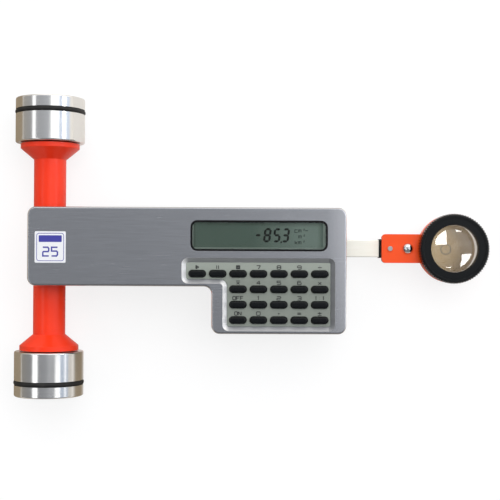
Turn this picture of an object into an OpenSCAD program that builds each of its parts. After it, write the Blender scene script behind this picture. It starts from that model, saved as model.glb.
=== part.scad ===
// Digital roller planimeter: a carriage on two rollers, a swinging housing with a display
// and a keypad, and a tracer arm with a magnifier lens. Paper level is z = 0.

/* [Rollers] */
// Diameter of each metal roller
roller_d = 35.8; // [30:0.1:43]
// Length of each metal roller
roller_l = 23.3; // [19:0.1:28]
// Distance between the outer faces of the two rollers
rollers_over = 155.2; // [150:0.1:190]
// Rounding of the roller's edges
roller_edge = 0.8; // [0.3:0.1:1.5]
// Height of the rubber tyre above the roller's surface
tyre_proud = 0.3; // [0.2:0.05:0.6]
// Thickness of the tyre's round cord
tyre_cord = 2.4; // [1.8:0.1:3]
// Distance from the roller's outer face to the middle of the tyre
tyre_inset = 7.1; // [5:0.1:11]
// Diameter of the axle
axle_d = 6; // [4:0.1:7]
// Head diameter of the screw at each end of the axle
end_screw_d = 8; // [6:0.1:9]

/* [Carriage] */
// Diameter of the carriage tube
tube_d = 16.7; // [14:0.1:20.1]
// Diameter of the flange at each end of the tube
flange_d = 30.5; // [25:0.1:35]
// Width of the flange's straight rim
flange_w = 2.4; // [1.5:0.1:4]
// Length of the cone from the tube to the flange
cone_l = 5.8; // [3:0.1:9]
// Gap between the flange and the roller
flange_gap = 0.5; // [0.3:0.1:1.5]
// Length of each axle bush
bush_l = 8; // [5:0.1:10]
// Diameter of the saddle under the pivot
saddle_d = 18; // [16:0.1:22]
// Height of the saddle above the tube
saddle_rise = 0.65; // [0.4:0.05:2]

/* [Pivot] */
// Diameter of the pivot post
pivot_d = 7; // [6:0.1:7.5]
// Wall of the bush round the post
pivot_bush_wall = 1.6; // [1:0.1:1.7]
// Length of the bush round the post
pivot_bush_l = 6.2; // [4:0.1:6.4]
// Swing of the housing to each side, in degrees
swing = 46; // [30:1:46]

/* [Housing] */
// Reach of the housing to the left of the pivot
housing_left = 7.8; // [7.8:0.1:10]
// Reach of the housing to the right of the pivot
housing_right = 153.8; // [150:0.1:185]
// Reach of the housing behind the pivot
housing_back = 20.2; // [19:0.1:23]
// Reach of the narrow part in front of the pivot
housing_front = 19.9; // [19:0.1:23]
// Where the wide part starts, from the pivot
step_x = 85.4; // [82:0.1:90]
// Reach of the wide part in front of the pivot
step_y = 43.9; // [43.5:0.1:50]
// Radius of the housing's outer corners
corner_r = 4.2; // [2.5:0.1:5]
// Radius of the housing's inner corner
inner_r = 4; // [2:0.1:6]
// Height of the metal cover
cover_h = 9; // [8.5:0.1:11]
// Thickness of the cover's sheet
sheet = 1.2; // [0.8:0.05:1.3]
// Radius of the cover's rolled rim
rim_r = 1; // [0.5:0.05:1.2]
// Gap between the lower case and the paper
case_low = 8; // [6.5:0.1:9]
// Wall of the lower case
case_wall = 2; // [1.6:0.1:2.5]
// Set-back of the lower case under the cover
case_inset = 0.4; // [0.2:0.05:0.6]
// Rounding of the lower case's bottom edge
case_edge = 1.5; // [0.5:0.1:2]
// Thickness of the floor over the carriage
tongue_t = 1.4; // [1.2:0.1:2]
// Distance of the case screws from the housing's edges
screw_in = 5; // [4.6:0.1:5.4]

/* [Display] */
// Width of the display bezel
lcd_w = 69.6; // [60:0.1:72]
// Height of the display bezel
lcd_h = 15.6; // [12:0.1:16]
// Corner radius of the bezel
lcd_r = 3.5; // [2:0.1:5]
// Width of the bezel's border
lcd_border = 1; // [0.6:0.05:1.5]
// Distance from the bezel to the housing's right edge
lcd_right_in = 9.6; // [8:0.1:14]
// Distance from the bezel to the housing's back edge
lcd_back_in = 6.6; // [5:0.1:6.8]

/* [Keypad] */
// Distance between key columns
key_pitch_x = 10.37; // [10.2:0.01:10.6]
// Distance between key rows
key_pitch_y = 7.81; // [6.6:0.01:7.9]
// Length of a key
key_l = 8.6; // [7.1:0.1:8.8]
// Width of a key
key_w = 3.5; // [2.8:0.1:4.3]
// Travel of a key
key_travel = 0.6; // [0.3:0.05:0.8]
// From the recess's left edge to the first column
keys_left = 7.8; // [7.4:0.1:8.4]
// From the last column to the recess's right edge
keys_right = 7.7; // [7.4:0.1:8.4]
// From the recess's back edge to the first row
keys_back = 8; // [6:0.1:8.2]
// From the last row to the recess's front edge
keys_front = 5.5; // [4.6:0.1:5.6]
// From the first row to the front edge of the recess's wing
wing_front = 5; // [4.6:0.1:5.6]
// From the recess to the housing's right edge
pad_right_in = 5.8; // [4.6:0.1:7]
// From the recess to the housing's front edge
pad_front_in = 1.5; // [1.4:0.1:3]
// Depth of the recess
pad_depth = 2.2; // [1.2:0.1:2.4]
// Width of the recess's sloping wall
pad_slope = 2.2; // [1.2:0.1:2.5]
// Corner radius of the recess
pad_r = 3.2; // [2.7:0.1:4]
// Thickness of the keypad panel
panel_t = 0.4; // [0.2:0.05:0.6]

/* [Measuring wheel] */
// Distance from the pivot to the wheel
wheel_x = 58; // [55:0.5:59]
// Diameter of the wheel
wheel_d = 20; // [18:0.1:22]
// Width of the wheel's rim
wheel_w = 1.6; // [1:0.1:2.5]
// Diameter of the wheel's shaft
shaft_d = 3; // [2.5:0.1:3.4]
// Diameter of the encoder disc
encoder_d = 10.4; // [8:0.1:10.6]
// Gap between the wheel pod and the paper
pod_low = 3; // [2:0.1:3.4]
// Gap between the wheel and the wall of its pod
pod_gap = 0.8; // [0.5:0.1:2]

/* [Tracer] */
// Free length of the arm between the housing and the collar
arm_free = 19.4; // [10:0.1:80]
// Width of the arm
arm_w = 9; // [6:0.1:9]
// Thickness of the arm
arm_t = 4; // [3:0.1:4.8]
// Width of the collar on the arm
collar_w = 1.2; // [0.8:0.1:3]
// Length of the holder, from its start to the lens's centre
holder_l = 37.4; // [34:0.1:45]
// Width of the holder's plate
plate_w = 15.2; // [12:0.1:18]
// Thickness of the holder's plate
plate_t = 3; // [2:0.1:4]
// Corner radius of the holder's plate
plate_r = 2; // [0.5:0.1:3]
// Diameter of the holder's ring
holder_d = 36; // [34:0.1:36.2]
// Diameter of the knurled grip ring, over the teeth
grip_d = 36.7; // [36.5:0.1:44]
// Height of the grip ring
grip_h = 6.6; // [5.5:0.1:8]
// Number of teeth on the grip ring
grip_teeth = 80; // [48:1:90]
// Depth of the teeth
tooth_depth = 0.65; // [0.3:0.05:0.7]
// Diameter of the clear opening over the lens
lens_open_d = 24.8; // [20:0.1:25.2]
// Rise of the lens's domed face
lens_rise = 2.2; // [1:0.1:3]
// Wall of the barrel between the lens and the foot
barrel_wall = 1.2; // [0.8:0.1:1.6]
// Thickness of the clear foot that slides on the paper
foot_t = 3; // [2:0.1:5]
// Diameter of the dome screw's head
dome_d = 5.8; // [4:0.1:6]
// Diameter of the small screw's head
small_screw_d = 2.5; // [2:0.1:3.5]

/* [Fits] */
// Radial clearance of a shaft that turns
running = 0.05; // [0.02:0.01:0.1]
// Radial clearance between pieces that are fixed together
seated = 0.02; // [0.01:0.01:0.05]
// Axial gap between pieces that turn against each other
end_gap = 0.15; // [0.1:0.01:0.3]
// Gap round a key
key_gap = 0.25; // [0.15:0.01:0.35]

/* [Hidden] */
$fn = 72;
// Overshoot of a cut past the face it opens
over = 1;

// Heights of the carriage, from the paper up
tyre_d = roller_d + 2 * tyre_proud;
axle_z = tyre_d / 2;
saddle_top = axle_z + tube_d / 2 + saddle_rise;
shoulder_t = 1;
shoulder_top = saddle_top + shoulder_t;
tongue_gap = 0.4;
tongue_low = shoulder_top + tongue_gap;
split_z = tongue_low + tongue_t;
cover_top = split_z + cover_h;
cover_under = cover_top - sheet;

// Along the axle
roller_outer = rollers_over / 2;
roller_inner = roller_outer - roller_l;
flange_outer = roller_inner - flange_gap;
bush_d = axle_d + 2.4;
tube_bore_d = axle_d + 1;
screw_seat = 3.4;
end_screw_shank = axle_d - 2;
end_screw_hole = 12;
end_wall = 3;
axle_end = roller_outer - screw_seat - end_wall;

// Pivot
spigot_d = pivot_d - 2;
spigot_low = axle_z + tube_bore_d / 2 + 0.9;
shoulder_d = pivot_d + 6;
bush_low = shoulder_top + end_gap;
bush_top = bush_low + pivot_bush_l;
pivot_bush_d = pivot_d + 2 * pivot_bush_wall;
pivot_boss_wall = 1.2;
nut_low = bush_top + end_gap;
nut_h = cover_under - nut_low - 0.6;
nut_across = pivot_d + 2.5;
thread_d = pivot_d - 3;

// The housing frame is centred on the footprint, with the pivot at pivot_x
holder_x = housing_right + arm_free + collar_w;
lens_x = holder_x + holder_l;
pivot_x = -(lens_x + grip_d / 2 - tyre_d / 2) / 2;

// Outlines: each corner is [x, y, radius, turn], counter-clockwise, turn -1 at an inner corner
function ell(left, right, step, back, middle, front, r_out, r_in) = [
    [left, back, r_out, 1],
    [left, middle, r_out, 1],
    [step, middle, r_in, -1],
    [step, front, r_out, 1],
    [right, front, r_out, 1],
    [right, back, r_out, 1]
];
function oblong(left, right, front, back, r) = [
    [left, back, r, 1],
    [left, front, r, 1],
    [right, front, r, 1],
    [right, back, r, 1]
];
function nth(c, i) = c[(i + len(c)) % len(c)];
function place(k) = [k[0], k[1]];
function leaving(c, i) =
    let (v = place(nth(c, i + 1)) - place(nth(c, i))) v / norm(v);
function outward(c, i) =
    let (v = leaving(c, i)) [v[1], -v[0]];
function heading(v) = atan2(v[1], v[0]);
function arc_hub(c, i) = place(c[i]) + c[i][2] * (leaving(c, i) - leaving(c, i - 1));
function shrunk(c, by) = [
    for (i = [0 : len(c) - 1])
        let (p = place(c[i]) - by * (outward(c, i - 1) + outward(c, i)))
            [p[0], p[1], max(c[i][2] - c[i][3] * by, 0), c[i][3]]
];

// The area inside an outline
module area(c) {
    difference() {
        union() {
            polygon([for (k = c) place(k)]);
            for (i = [0 : len(c) - 1])
                if (c[i][3] < 0)
                    translate(arc_hub(c, i)) rotate(heading(leaving(c, i - 1))) corner_cut(c[i][2]);
        }
        for (i = [0 : len(c) - 1])
            if (c[i][3] > 0 && c[i][2] > 0)
                translate(arc_hub(c, i)) rotate(heading(outward(c, i - 1))) corner_cut(c[i][2]);
    }
}

// What a round corner leaves of its square
module corner_cut(r) {
    difference() {
        square(r + over);
        circle(r);
    }
}

// A profile carried round an outline: its x points outward and its y up
module along(c) {
    for (i = [0 : len(c) - 1]) {
        next = nth(c, i + 1);
        run = norm(place(next) - place(c[i])) - c[i][2] - next[2];
        translate(place(next) - next[2] * leaving(c, i))
            rotate([90, 0, heading(outward(c, i))])
                linear_extrude(run) children();
        if (c[i][3] > 0)
            translate(arc_hub(c, i)) rotate(heading(outward(c, i - 1)))
                rotate_extrude(angle = 90) translate([c[i][2], 0]) children();
        else
            translate(arc_hub(c, i)) rotate(heading(leaving(c, i - 1)))
                rotate_extrude(angle = 90) translate([c[i][2], 0]) mirror([1, 0]) children();
    }
}

module quarter_round(r) {
    intersection() {
        circle(r);
        square(r);
    }
}

// A plate with rounded lower or upper edges
module slab(c, low, high, low_r = 0, high_r = 0) {
    translate([0, 0, low + low_r]) linear_extrude(high - low - low_r - high_r) area(c);
    if (low_r > 0) {
        translate([0, 0, low]) linear_extrude(low_r) area(shrunk(c, low_r));
        translate([0, 0, low + low_r]) along(shrunk(c, low_r)) mirror([0, 1]) quarter_round(low_r);
    }
    if (high_r > 0) {
        translate([0, 0, high - high_r]) linear_extrude(high_r) area(shrunk(c, high_r));
        translate([0, 0, high - high_r]) along(shrunk(c, high_r)) quarter_round(high_r);
    }
}

module layer(c, low, high) {
    translate([0, 0, low]) linear_extrude(high - low) area(c);
}

// A round-ended bar in plan
module pill(l, w) {
    square([l - w, w], center = true);
    for (s = [-1, 1])
        translate([s * (l - w) / 2, 0]) circle(d = w);
}

module ring(outer_d, inner_d, h) {
    difference() {
        cylinder(d = outer_d, h = h);
        translate([0, 0, -over]) cylinder(d = inner_d, h = h + 2 * over);
    }
}

module at_pivot() {
    translate([pivot_x, 0, 0]) children();
}

// Puts a shape that was drawn along z onto the axle, which runs along y
module on_axle() {
    at_pivot() translate([0, 0, axle_z]) rotate([-90, 0, 0]) children();
}

// Puts a shape that was drawn along z onto the measuring wheel's shaft, which runs along x
module on_shaft() {
    at_pivot() translate([wheel_x, 0, wheel_d / 2]) rotate([0, 90, 0]) children();
}

// Housing outline, and the part of it that hangs down beside the swinging carriage
housing = ell(-housing_left, housing_right, step_x, housing_back, -housing_front, -step_y,
    corner_r, inner_r);
sweep_gap = 3;
deep_x = housing_back * tan(swing) + tube_d / 2 / cos(swing) + sweep_gap;
deep = shrunk(ell(deep_x - case_inset, housing_right, step_x, housing_back, -housing_front,
    -step_y, corner_r, inner_r), case_inset);
floor_top = case_low + case_wall;

// Screws that hold the cover on the case
case_screw_d = 3;
case_screw_head_d = 5.5;
case_screw_head_h = 2;
case_column_d = 6.4;
case_screw_spots = [
    [deep_x + case_inset + screw_in, housing_back - screw_in],
    [deep_x + case_inset + screw_in, screw_in - housing_front],
    [step_x + screw_in, screw_in - step_y],
    [housing_right - screw_in, screw_in - step_y],
    [housing_right - screw_in, housing_back - screw_in]
];
module at_case_screws() {
    for (p = case_screw_spots)
        translate(p) children();
}

// Keypad: rows count from the back and columns from the left
key_columns = 7;
key_rows = 4;
wing_columns = 2;
pad_right = housing_right - pad_right_in;
pad_left = pad_right - keys_right - (key_columns - 1) * key_pitch_x - keys_left;
pad_front = pad_front_in - step_y;
pad_back = pad_front + keys_front + (key_rows - 1) * key_pitch_y + keys_back;
pad_step = pad_left + wing_columns * key_pitch_x;
pad_wing = pad_back - keys_back - wing_front;
pad_inner_r = 1.5;
pad = ell(pad_left, pad_right, pad_step, pad_back, pad_wing, pad_front, pad_r, pad_inner_r);
pad_floor = shrunk(pad, pad_slope);
pad_floor_z = cover_top - pad_depth;
key_top = cover_top - 0.2;
key_rim = 0.6;
key_flange_t = 0.8;
key_flange_top = pad_floor_z - sheet - end_gap;
key_low = key_flange_top - key_flange_t;
key_round = 0.9;
KEYS = [
    for (row = [0 : key_rows - 1])
        for (column = [row == 0 ? 0 : wing_columns : key_columns - 1])
            [row, column]
];
function key_name(k) = str("key_", k[0] + 1, "_", k[1] + 1);
function key_spot(k) = [
    pad_left + keys_left + k[1] * key_pitch_x,
    pad_back - keys_back - k[0] * key_pitch_y
];

// Display
lcd_right = housing_right - lcd_right_in;
lcd_back = housing_back - lcd_back_in;
lcd = oblong(lcd_right - lcd_w, lcd_right, lcd_back - lcd_h, lcd_back, lcd_r);
window_t = 0.8;
window_edge = 0.35;
window_top = cover_top - 0.35;
cell_top = window_top - window_t - 0.1;
cell_t = 2.2;
cell_over = 1;

// Circuit board, on the rim of the lower case
board_low = split_z;
board_t = 1.6;
board_top = board_low + board_t;
board_left = min(lcd_right - lcd_w, step_x) - 10;
board_inset = sheet + 0.2;
board = shrunk(ell(board_left - board_inset, housing_right, step_x, housing_back,
    -housing_front, -step_y, corner_r, inner_r), board_inset);
board_notch_d = case_column_d + 2;

// Charger jack
jack_w = 8;
jack_bore_d = 3.6;
jack_l = 12;
jack_in = 19;
jack_z = floor_top + 10;
jack_section = oblong(-jack_w / 2, jack_w / 2, -jack_w / 2, jack_w / 2, 1);

// Measuring wheel unit
pod_wall = 1.5;
bracket_t = 2;
bracket_w = 12;
bracket_left = wheel_x - 8;
bracket_right = wheel_x + 16;
bearing_d = shaft_d + 3;
bridge_z = wheel_d + 1.5;
bridge_t = 1.5;
encoder_x = 8;
encoder_t = 0.6;
pod_half = wheel_d / 2 + pod_gap + pod_wall;
pod = oblong(bracket_left - pod_wall - 1, bracket_right + pod_wall + 1, -pod_half, pod_half, 3.5);

// Tracer heights
arm_low = floor_top;
arm_top = arm_low + arm_t;
arm_section = oblong(-arm_w / 2, arm_w / 2, -arm_t / 2, arm_t / 2, 0.5);
plate_top = arm_top + plate_t;
arm_inside = 34;
holder_ring_low = arm_low + 1;
holder_wall_gap = 0.1;
lens_edge_t = 2.3;
lens_seat_wall = 0.6;
grip_low = plate_top + 0.25;
grip_top = grip_low + grip_h;
mount_d = grip_d - 5.5;
mount_lip_d = grip_d - 4.1;
mount_lip_t = 0.9;
mount_top = grip_top - 0.5;
barrel_d = lens_open_d + 2 * barrel_wall;
barrel_flange = 1;
dome_x = min(holder_x + 13.7, lens_x - grip_d / 2 - dome_d / 2 - 0.2);
small_screw_x = holder_x + 4.4;

// Carriage

module carriage_tube() {
    color("orangered") difference() {
        union() {
            on_axle() rotate_extrude() polygon([
                [0, -flange_outer],
                [flange_d / 2, -flange_outer],
                [flange_d / 2, -flange_outer + flange_w],
                [tube_d / 2, -flange_outer + flange_w + cone_l],
                [tube_d / 2, flange_outer - flange_w - cone_l],
                [flange_d / 2, flange_outer - flange_w],
                [flange_d / 2, flange_outer],
                [0, flange_outer]
            ]);
            at_pivot() translate([0, 0, axle_z])
                cylinder(d = saddle_d, h = saddle_top - axle_z);
        }
        on_axle() translate([0, 0, -flange_outer - over])
            cylinder(d = tube_bore_d, h = 2 * (flange_outer + over));
        for (s = [-1, 1])
            on_axle() translate([0, 0, s * (flange_outer + over - (bush_l + over) / 2)])
                cylinder(d = bush_d, h = bush_l + over, center = true);
        at_pivot() translate([0, 0, spigot_low])
            cylinder(d = spigot_d, h = saddle_top - spigot_low + over);
    }
}

module axle_bushes() {
    color("goldenrod")
        for (s = [-1, 1])
            on_axle() translate([0, 0, s * (flange_outer - bush_l / 2) - bush_l / 2])
                ring(bush_d - 2 * seated, axle_d + 2 * running, bush_l);
}

module pivot_post() {
    color("silver") at_pivot() {
        translate([0, 0, spigot_low])
            cylinder(d = spigot_d - 2 * seated, h = saddle_top - spigot_low);
        translate([0, 0, saddle_top]) cylinder(d = shoulder_d, h = shoulder_t);
        translate([0, 0, shoulder_top]) cylinder(d = pivot_d, h = nut_low - shoulder_top);
        translate([0, 0, nut_low]) cylinder(d = thread_d, h = nut_h);
    }
}

module pivot_nut() {
    color("silver") at_pivot() translate([0, 0, nut_low])
        difference() {
            cylinder(d = nut_across / cos(30), h = nut_h - 0.2, $fn = 6);
            translate([0, 0, -over]) cylinder(d = thread_d + 2 * seated, h = nut_h + 2 * over);
        }
}

// Rollers

module roller_axle() {
    color("silver") on_axle() difference() {
        cylinder(d = axle_d, h = 2 * axle_end, center = true);
        for (s = [-1, 1])
            translate([0, 0, s * axle_end])
                cylinder(d = end_screw_shank + 2 * seated, h = 2 * end_screw_hole, center = true);
    }
}

// One roller, with its outer face up at the end of its length
module roller() {
    groove_w = tyre_cord + 0.1;
    groove_floor = tyre_d / 2 - tyre_cord - 0.05;
    color("lightgray") difference() {
        rotate_extrude() difference() {
            union() {
                translate([0, roller_edge]) square([roller_d / 2, roller_l - 2 * roller_edge]);
                square([roller_d / 2 - roller_edge, roller_l]);
                translate([roller_d / 2 - roller_edge, roller_edge]) circle(roller_edge);
                translate([roller_d / 2 - roller_edge, roller_l - roller_edge]) circle(roller_edge);
            }
            translate([groove_floor, roller_l - tyre_inset - groove_w / 2])
                square([roller_d, groove_w]);
        }
        translate([0, 0, -over])
            cylinder(d = axle_d + 2 * seated, h = roller_l - screw_seat - end_wall + over);
        cylinder(d = end_screw_shank + 2 * seated, h = roller_l);
        translate([0, 0, roller_l - screw_seat]) cylinder(d = end_screw_d + 1, h = screw_seat + over);
    }
}

module tyre() {
    color("black") translate([0, 0, roller_l - tyre_inset]) rotate_extrude()
        translate([(tyre_d - tyre_cord) / 2, 0]) circle(d = tyre_cord);
}

module at_rear() {
    on_axle() translate([0, 0, roller_inner]) children();
}

module at_front() {
    on_axle() rotate([180, 0, 0]) translate([0, 0, roller_inner]) children();
}

module roller_rear() {
    at_rear() roller();
}

module roller_front() {
    at_front() roller();
}

module tyre_rear() {
    at_rear() tyre();
}

module tyre_front() {
    at_front() tyre();
}

module end_screw() {
    head_h = 2.6;
    slot_w = 1.2;
    translate([0, 0, roller_l - screw_seat]) {
        difference() {
            cylinder(d = end_screw_d, h = head_h);
            translate([-end_screw_d, -slot_w / 2, head_h - 1.1]) cube([2 * end_screw_d, slot_w, 2]);
        }
        translate([0, 0, 2 - end_screw_hole]) cylinder(d = end_screw_shank, h = end_screw_hole - 2);
    }
}

module roller_screws() {
    color("silver") {
        at_rear() end_screw();
        at_front() end_screw();
    }
}

// Housing

module top_cover() {
    boss_d = 6;
    color("lightsteelblue") at_pivot() difference() {
        union() {
            difference() {
                slab(housing, split_z, cover_top, 0, rim_r);
                layer(shrunk(housing, sheet), split_z - over, cover_under);
            }
            layer(shrunk(pad, -sheet), pad_floor_z - sheet, cover_top - rim_r);
            at_case_screws() translate([0, 0, split_z])
                cylinder(d = boss_d, h = cover_top - sheet / 2 - split_z);
        }
        layer(pad_floor, pad_floor_z, cover_top + over);
        translate([0, 0, pad_floor_z]) along(pad_floor)
            polygon([[0, 0], [pad_slope, pad_depth], [pad_slope, pad_depth + over], [0, pad_depth + over]]);
        layer(lcd, cover_under - over, cover_top + over);
        for (k = KEYS)
            translate(key_spot(k)) translate([0, 0, pad_floor_z - sheet - over])
                linear_extrude(sheet + 2 * over) pill(key_l + 2 * key_gap, key_w + 2 * key_gap);
        at_case_screws() translate([0, 0, split_z - over])
            cylinder(d = case_screw_d + 2 * seated, h = pad_floor_z - sheet - split_z);
    }
}

module lower_case() {
    slot_l = 2 * sqrt(pow(wheel_d / 2, 2) - pow(wheel_d / 2 - pod_low - pod_wall, 2)) + 2;
    slot_w = wheel_w + 3;
    boss_d = pivot_bush_d + 2 * pivot_boss_wall;
    color("dimgray") at_pivot() difference() {
        union() {
            difference() {
                union() {
                    layer(shrunk(housing, case_inset), tongue_low, split_z);
                    slab(deep, case_low, split_z, case_edge, 0);
                    slab(pod, pod_low, case_low + case_edge, 1, 0);
                }
                layer(shrunk(deep, case_wall), floor_top, split_z + over);
                layer(shrunk(pod, pod_wall), pod_low + pod_wall, floor_top + over);
            }
            at_case_screws() translate([0, 0, case_low + 1])
                cylinder(d = case_column_d, h = split_z - case_low - 1);
            translate([0, 0, tongue_low]) cylinder(d = boss_d, h = bush_top - tongue_low);
        }
        translate([0, 0, tongue_low - over])
            cylinder(d = pivot_bush_d, h = bush_top - tongue_low + 2 * over);
        translate([wheel_x, 0, pod_low - over]) linear_extrude(pod_wall + 2 * over)
            rotate(90) pill(slot_l, slot_w);
        at_case_screws() translate([0, 0, case_low - over])
            cylinder(d = case_screw_d + 0.2, h = split_z - case_low + 2 * over);
        at_case_screws() translate([0, 0, case_low - over])
            cylinder(d = case_screw_head_d + 0.4, h = case_screw_head_h + 0.4 + over);
        translate([housing_right, 0, arm_low + arm_t / 2])
            cube([4 * case_wall, arm_w + 0.1, arm_t + 0.1], center = true);
        at_jack() translate([0, 0, -jack_l]) linear_extrude(jack_l + over)
            area(shrunk(jack_section, -seated));
    }
}

module keypad_panel() {
    color("darkseagreen") at_pivot() translate([0, 0, pad_floor_z]) linear_extrude(panel_t)
        difference() {
            area(shrunk(pad_floor, 0.1));
            for (k = KEYS)
                translate(key_spot(k)) pill(key_l + 2 * key_gap, key_w + 2 * key_gap);
        }
}

// A key: a domed pill on a flange that stays under the cover
module key(k) {
    color("black") at_pivot() translate(key_spot(k)) {
        for (s = [-1, 1])
            translate([s * (key_l - key_w) / 2, 0, 0]) rotate(90 - 90 * s - 90)
                rotate_extrude(angle = 180) key_half();
        rotate([90, 0, 90]) linear_extrude(key_l - key_w, center = true) {
            key_half();
            mirror([1, 0]) key_half();
        }
        translate([0, 0, key_low]) linear_extrude(key_flange_t)
            pill(key_l + 2 * key_rim, key_w + 2 * key_rim);
    }
}

// Half of the key's section, from its middle plane outward
module key_half() {
    translate([0, key_low]) square([key_w / 2, key_top - key_round - key_low]);
    translate([0, key_low]) square([key_w / 2 - key_round, key_top - key_low]);
    translate([key_w / 2 - key_round, key_top - key_round]) quarter_round(key_round);
}

module key_mat() {
    sheet_top = board_top + 0.8;
    dome_d = key_w + 0.6;
    color("gainsboro") at_pivot() {
        layer(shrunk(pad_floor, 0.5), board_top, sheet_top);
        for (k = KEYS)
            translate(key_spot(k)) translate([0, 0, sheet_top - 0.2])
                cylinder(d = dome_d, h = key_low - key_travel - end_gap - sheet_top + 0.2);
    }
}

module circuit_board() {
    color("darkgreen") at_pivot() translate([0, 0, board_low]) linear_extrude(board_t)
        difference() {
            area(board);
            at_case_screws() circle(d = board_notch_d);
        }
}

module lcd_module() {
    glass = shrunk(lcd, -cell_over);
    color("darkseagreen") at_pivot() {
        layer(glass, cell_top - cell_t, cell_top);
        layer(shrunk(glass, 1), board_top, cell_top - cell_t + 0.1);
    }
}

module lcd_bezel() {
    color("black") at_pivot() difference() {
        layer(shrunk(lcd, seated), cover_under, cover_top);
        layer(shrunk(lcd, lcd_border), cover_under - over, cover_top + over);
    }
}

module lcd_window() {
    color("lightgray") at_pivot()
        slab(shrunk(lcd, lcd_border + seated), window_top - window_t, window_top, 0, window_edge);
}

module battery_pack() {
    cell_d = 14.5;
    cell_l = 50;
    right = housing_right - case_inset - case_wall - 6;
    color("steelblue") at_pivot()
        translate([right - cell_l, -arm_w / 2 - 0.8 - cell_d, floor_top + 0.1 + cell_d / 2])
            rotate([0, 90, 0]) linear_extrude(cell_l) {
                square([cell_d - 4, cell_d], center = true);
                for (s = [-1, 1])
                    translate([0, s * cell_d / 2]) circle(d = cell_d);
            }
}

// Charger jack in the back wall: drawn along z with its mouth at the top
module at_jack() {
    translate([housing_right - jack_in, housing_back - case_inset, jack_z])
        rotate([-90, 0, 0]) children();
}

module charger_jack() {
    bore_l = jack_l - 1.5;
    body = 10;
    color("black") at_pivot() at_jack() difference() {
        union() {
            translate([0, 0, -jack_l]) linear_extrude(jack_l) area(jack_section);
            translate([-body / 2, -body / 2, -jack_l - 1])
                cube([body, body, jack_l + 1 - case_wall]);
        }
        translate([0, 0, -bore_l]) cylinder(d = jack_bore_d, h = bore_l + over);
    }
}

module case_screws() {
    shank_l = 24;
    color("silver") at_pivot() at_case_screws() translate([0, 0, case_low + 0.4]) {
        difference() {
            cylinder(d = case_screw_head_d, h = case_screw_head_h);
            for (a = [0, 90])
                rotate(a) cube([3.2, 0.8, 2.2], center = true);
        }
        translate([0, 0, case_screw_head_h]) cylinder(d = case_screw_d, h = shank_l);
    }
}

module pivot_bush() {
    color("goldenrod") at_pivot() translate([0, 0, bush_low])
        ring(pivot_bush_d - 2 * seated, pivot_d + 2 * running, pivot_bush_l);
}

// Measuring wheel

module wheel_bracket() {
    color("silver") difference() {
        at_pivot() {
            for (x = [bracket_left, bracket_right - bracket_t])
                translate([x, -bracket_w / 2, pod_low + pod_wall])
                    cube([bracket_t, bracket_w, bridge_z + bridge_t - pod_low - pod_wall]);
            translate([bracket_left, -bracket_w / 2, bridge_z])
                cube([bracket_right - bracket_left, bracket_w, bridge_t]);
        }
        on_shaft() cylinder(d = bearing_d, h = 100, center = true);
    }
}

module wheel_bearings() {
    color("goldenrod")
        for (x = [bracket_left, bracket_right - bracket_t])
            on_shaft() translate([0, 0, x - wheel_x])
                ring(bearing_d - 2 * seated, shaft_d + 2 * running, bracket_t);
}

module measuring_wheel() {
    hub_d = shaft_d + 4;
    hub_l = 6;
    web_t = 1;
    rim_t = 1.5;
    color("lightgray") on_shaft() difference() {
        union() {
            cylinder(d = hub_d, h = hub_l, center = true);
            cylinder(d = wheel_d - rim_t, h = web_t, center = true);
            rotate_extrude() {
                translate([wheel_d / 2 - rim_t, -wheel_w / 2]) square([rim_t - 0.3, wheel_w]);
                translate([wheel_d / 2 - 0.4, -wheel_w / 4]) square([0.4, wheel_w / 2]);
            }
        }
        cylinder(d = shaft_d + 2 * seated, h = 2 * hub_l, center = true);
    }
}

module wheel_shaft() {
    end = 0.5;
    color("silver") on_shaft() translate([0, 0, bracket_left - wheel_x - end])
        cylinder(d = shaft_d, h = bracket_right - bracket_left + 2 * end);
}

module encoder_disc() {
    hub_d = shaft_d + 2;
    hub_l = 3;
    color("dimgray") on_shaft() translate([0, 0, encoder_x]) difference() {
        union() {
            cylinder(d = encoder_d, h = encoder_t, center = true);
            cylinder(d = hub_d, h = hub_l, center = true);
        }
        cylinder(d = shaft_d + 2 * seated, h = 2 * hub_l, center = true);
    }
}

module light_sensor() {
    body_l = 7;
    body_w = 8;
    slot_w = 1.8;
    low = wheel_d / 2 + shaft_d / 2 + 1.6;
    color("black") at_pivot() translate([wheel_x + encoder_x, 0, 0]) difference() {
        translate([-body_l / 2, -body_w / 2, low]) cube([body_l, body_w, bridge_z - low]);
        translate([-slot_w / 2, -body_w, low - over])
            cube([slot_w, 2 * body_w, wheel_d / 2 + encoder_d / 2 + 0.8 - low + over]);
    }
}

// Tracer

module tracer_arm() {
    start = housing_right - arm_inside;
    end = lens_x - holder_d / 2 - 0.5;
    color("ivory") at_pivot() difference() {
        translate([start, 0, arm_low + arm_t / 2]) rotate([90, 0, 90]) linear_extrude(end - start)
            area(arm_section);
        translate([dome_x, 0, arm_low + 0.8]) cylinder(d = 3 + 2 * seated, h = arm_t);
        translate([small_screw_x, 0, arm_low + 0.8]) cylinder(d = 1.6 + 2 * seated, h = arm_t);
    }
}

module arm_collar() {
    wall = 0.5;
    color("dimgray") at_pivot() translate([holder_x - collar_w, 0, arm_low + arm_t / 2])
        rotate([90, 0, 90]) linear_extrude(collar_w - 0.1) difference() {
            square([arm_w + 2 * wall, arm_t + 2 * wall], center = true);
            area(shrunk(arm_section, -seated));
        }
}

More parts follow.
